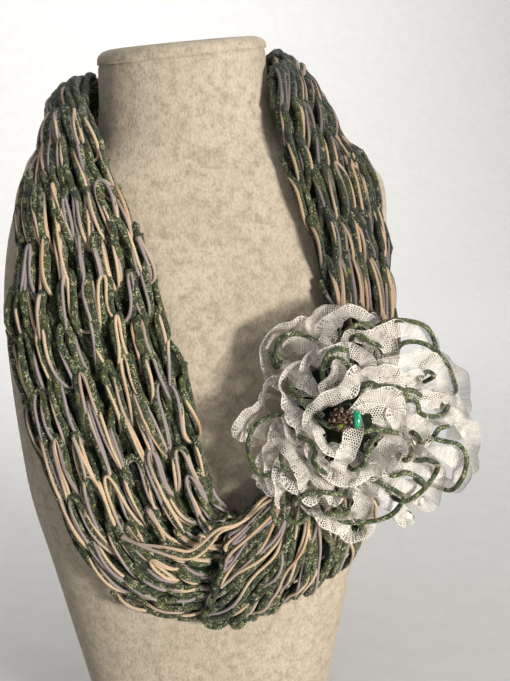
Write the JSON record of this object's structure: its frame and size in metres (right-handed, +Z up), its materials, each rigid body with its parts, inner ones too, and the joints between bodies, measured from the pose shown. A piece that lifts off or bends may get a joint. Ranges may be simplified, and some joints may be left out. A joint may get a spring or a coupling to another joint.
{
  "type": "infinity scarf on a display bust",
  "caption": "loop scarf of big loose knit, worn round the neck of a velvet display bust and crossed at the chest, with a net-ribbon and yarn flower pinned to one fall",
  "frame": {"origin": "middle of the bust's flat base, on its underside", "axes": "+X to the right of the view from the front, +Y to the back, +Z up"},
  "size_m": [0.2174, 0.1873, 0.3844],
  "materials": {
    "velvet": "crushed velvet",
    "knit": "glitter yarn, loosely knitted",
    "net": "net ribbon",
    "yarn": "glitter yarn",
    "bronze": "aged bronze filigree",
    "bead": "polished"
  },
  "bodies": {
    "root": {"display_bust": "velvet", "scarf_left_fall": "knit", "scarf_neck_back": "knit", "scarf_right_fall": "knit", "scarf_twist": "knit", "flower_ribbon_outer": "net", "flower_ribbon_middle": "net", "flower_ribbon_inner": "net", "flower_yarn_outer": "yarn", "flower_yarn_inner": "yarn", "bead_bronze": "bronze", "bead_green": "bead"}
  },
  "joints": []
}
